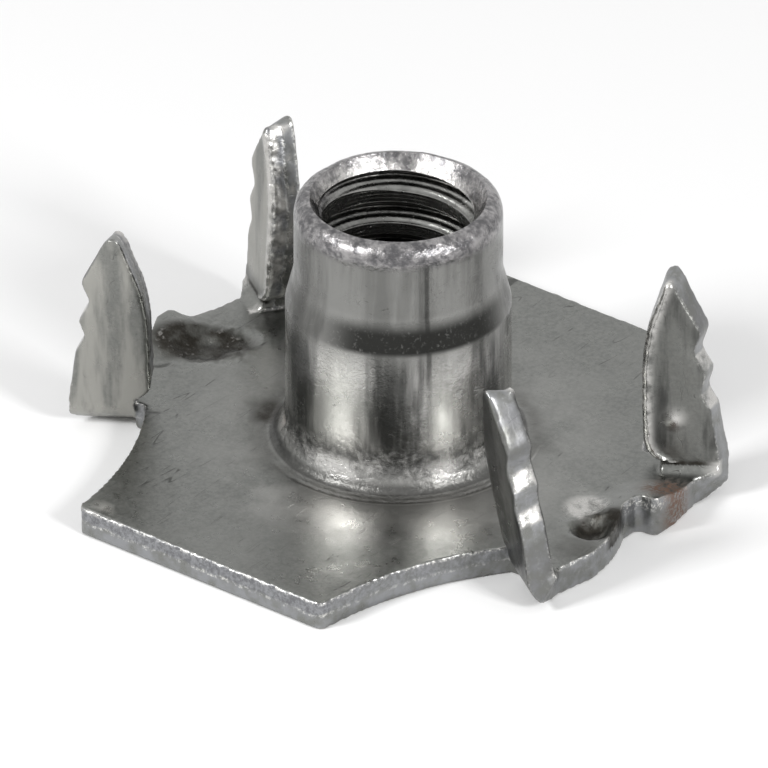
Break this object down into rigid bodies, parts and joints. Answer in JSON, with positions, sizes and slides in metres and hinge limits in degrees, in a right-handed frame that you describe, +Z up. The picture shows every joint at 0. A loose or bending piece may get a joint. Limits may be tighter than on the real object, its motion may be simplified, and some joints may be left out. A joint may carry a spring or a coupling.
{
  "type": "pronged tee nut",
  "caption": "Pronged tee nut for wood: flat flange with concave sides, upright barbed prongs and a central drawn barrel threaded inside.",
  "frame": {"origin": "on the thread's axis, in the plane of the flange's underside", "axes": "+Z up the barrel and the prongs; +X along the two straight sheared sides of the flange; +Y across them"},
  "size_m": [0.0215, 0.0216, 0.0104],
  "materials": {
    "steel": "bare bright sheet steel, semi-gloss, with rougher sheared edges"
  },
  "bodies": {
    "root": {"tee_nut": "steel"}
  },
  "joints": []
}
